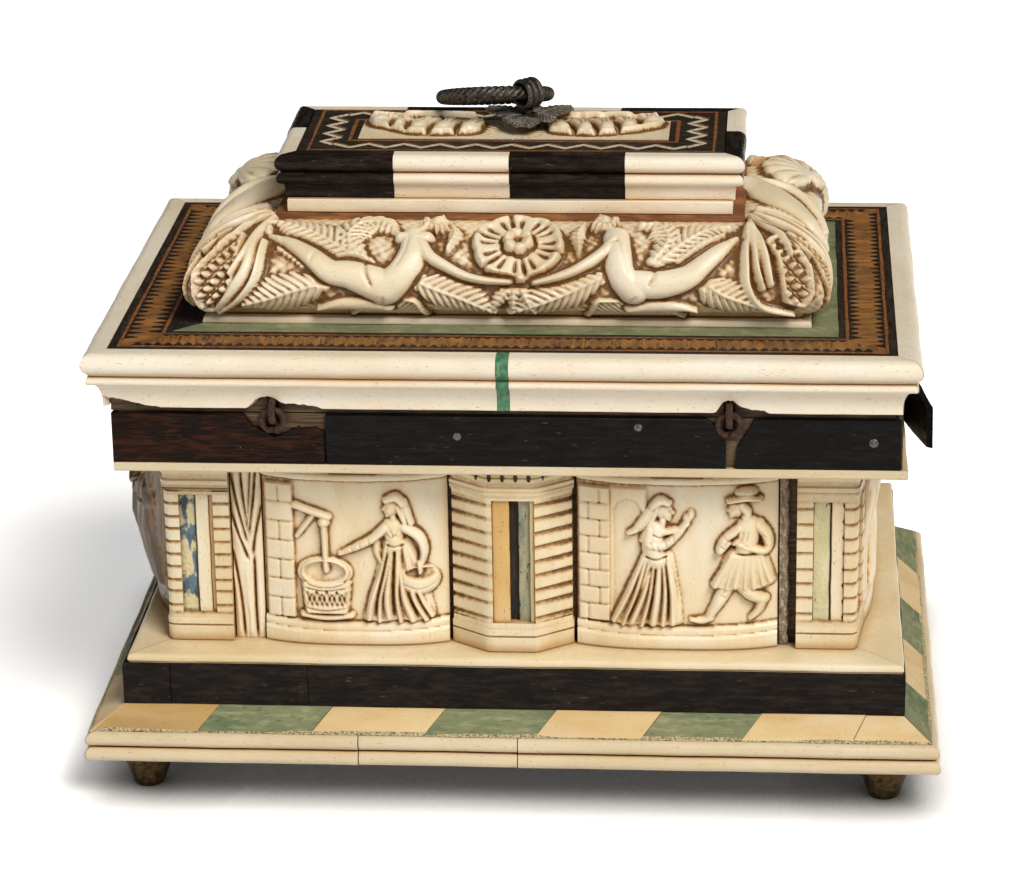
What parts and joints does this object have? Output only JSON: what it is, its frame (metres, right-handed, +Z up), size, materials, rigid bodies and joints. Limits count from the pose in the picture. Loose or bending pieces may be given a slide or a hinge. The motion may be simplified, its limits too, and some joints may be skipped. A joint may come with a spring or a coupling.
{
  "type": "small casket",
  "caption": "Small footed casket of wood dressed with carved bone, with a moulded hinged lid, inlaid bands and an iron ring handle.",
  "frame": {"origin": "middle of the footprint, on the plane that the feet stand on", "axes": "+X along the long side, -Y towards the hinge side that the picture shows, +Z up"},
  "size_m": [0.2104, 0.1434, 0.167],
  "materials": {
    "bone": "satin",
    "pale_bone": "satin",
    "green_bone": "satin",
    "dark_wood": "satin",
    "red_wood": "satin",
    "plain_wood": "matte",
    "inlay_wood": "satin",
    "iron": "matte",
    "rusty_iron": "matte",
    "brass": "matte"
  },
  "bodies": {
    "box": {"base_moulding_front": "bone", "base_moulding_left": "bone", "base_moulding_rear": "bone", "base_moulding_right": "bone", "box_hinge_eye_left": "rusty_iron", "box_hinge_eye_right": "rusty_iron", "centre_tower_front": "bone", "centre_tower_rear": "bone", "chequer_band": "green_bone", "corner_tower_front_left": "bone", "corner_tower_front_right": "bone", "corner_tower_rear_left": "bone", "corner_tower_rear_right": "bone", "end_panel_left": "pale_bone", "end_panel_right": "pale_bone", "foot_front_left": "brass", "foot_front_right": "brass", "foot_rear_left": "brass", "foot_rear_right": "brass", "ledge": "bone", "pilaster_front_left": "bone", "pilaster_front_right": "bone", "pilaster_rear_left": "bone", "plinth_band": "dark_wood", "plinth_core": "plain_wood", "rim_bead": "bone", "rim_veneer_front": "dark_wood", "rim_veneer_left": "dark_wood", "rim_veneer_rear_left": "red_wood", "rim_veneer_rear_middle": "dark_wood", "rim_veneer_rear_right": "dark_wood", "rim_veneer_right_peeled": "dark_wood", "scene_panel_front_left": "pale_bone", "scene_panel_front_right": "pale_bone", "scene_panel_rear_left": "pale_bone", "scene_panel_rear_right": "pale_bone", "wall_board_front": "plain_wood", "wall_board_left": "plain_wood", "wall_board_rear": "plain_wood", "wall_board_right": "plain_wood"},
    "lid": {"carved_cushion_front": "bone", "carved_cushion_left": "bone", "carved_cushion_rear": "bone", "carved_cushion_right": "bone", "cushion_fillet": "pale_bone", "handle_eye": "iron", "leaf_rosette": "iron", "lid_core": "plain_wood", "lid_hinge_eye_left": "rusty_iron", "lid_hinge_eye_right": "rusty_iron", "lid_inlay_panel": "inlay_wood", "lid_moulding_insert": "green_bone", "lid_moulding_rear_left": "bone", "lid_moulding_rear_right": "bone", "lid_moulding_surround": "bone", "top_fillet": "bone", "top_inlay_panel": "inlay_wood", "top_moulding": "dark_wood", "top_plaque": "pale_bone"},
    "ring": {"ring_handle": "iron"}
  },
  "joints": [
    {"name": "lid_hinge", "type": "hinge", "parent": "box", "child": "lid", "pos_m": [-0.0016, -0.062, 0.1007], "axis": [1, 0, 0], "range_deg": [0, 105]},
    {"name": "ring_swing", "type": "hinge", "parent": "lid", "child": "ring", "pos_m": [0.0016, 0.001, 0.1626], "axis": [0.7392, 0.65, -0.1764], "range_deg": [0, 195]}
  ]
}
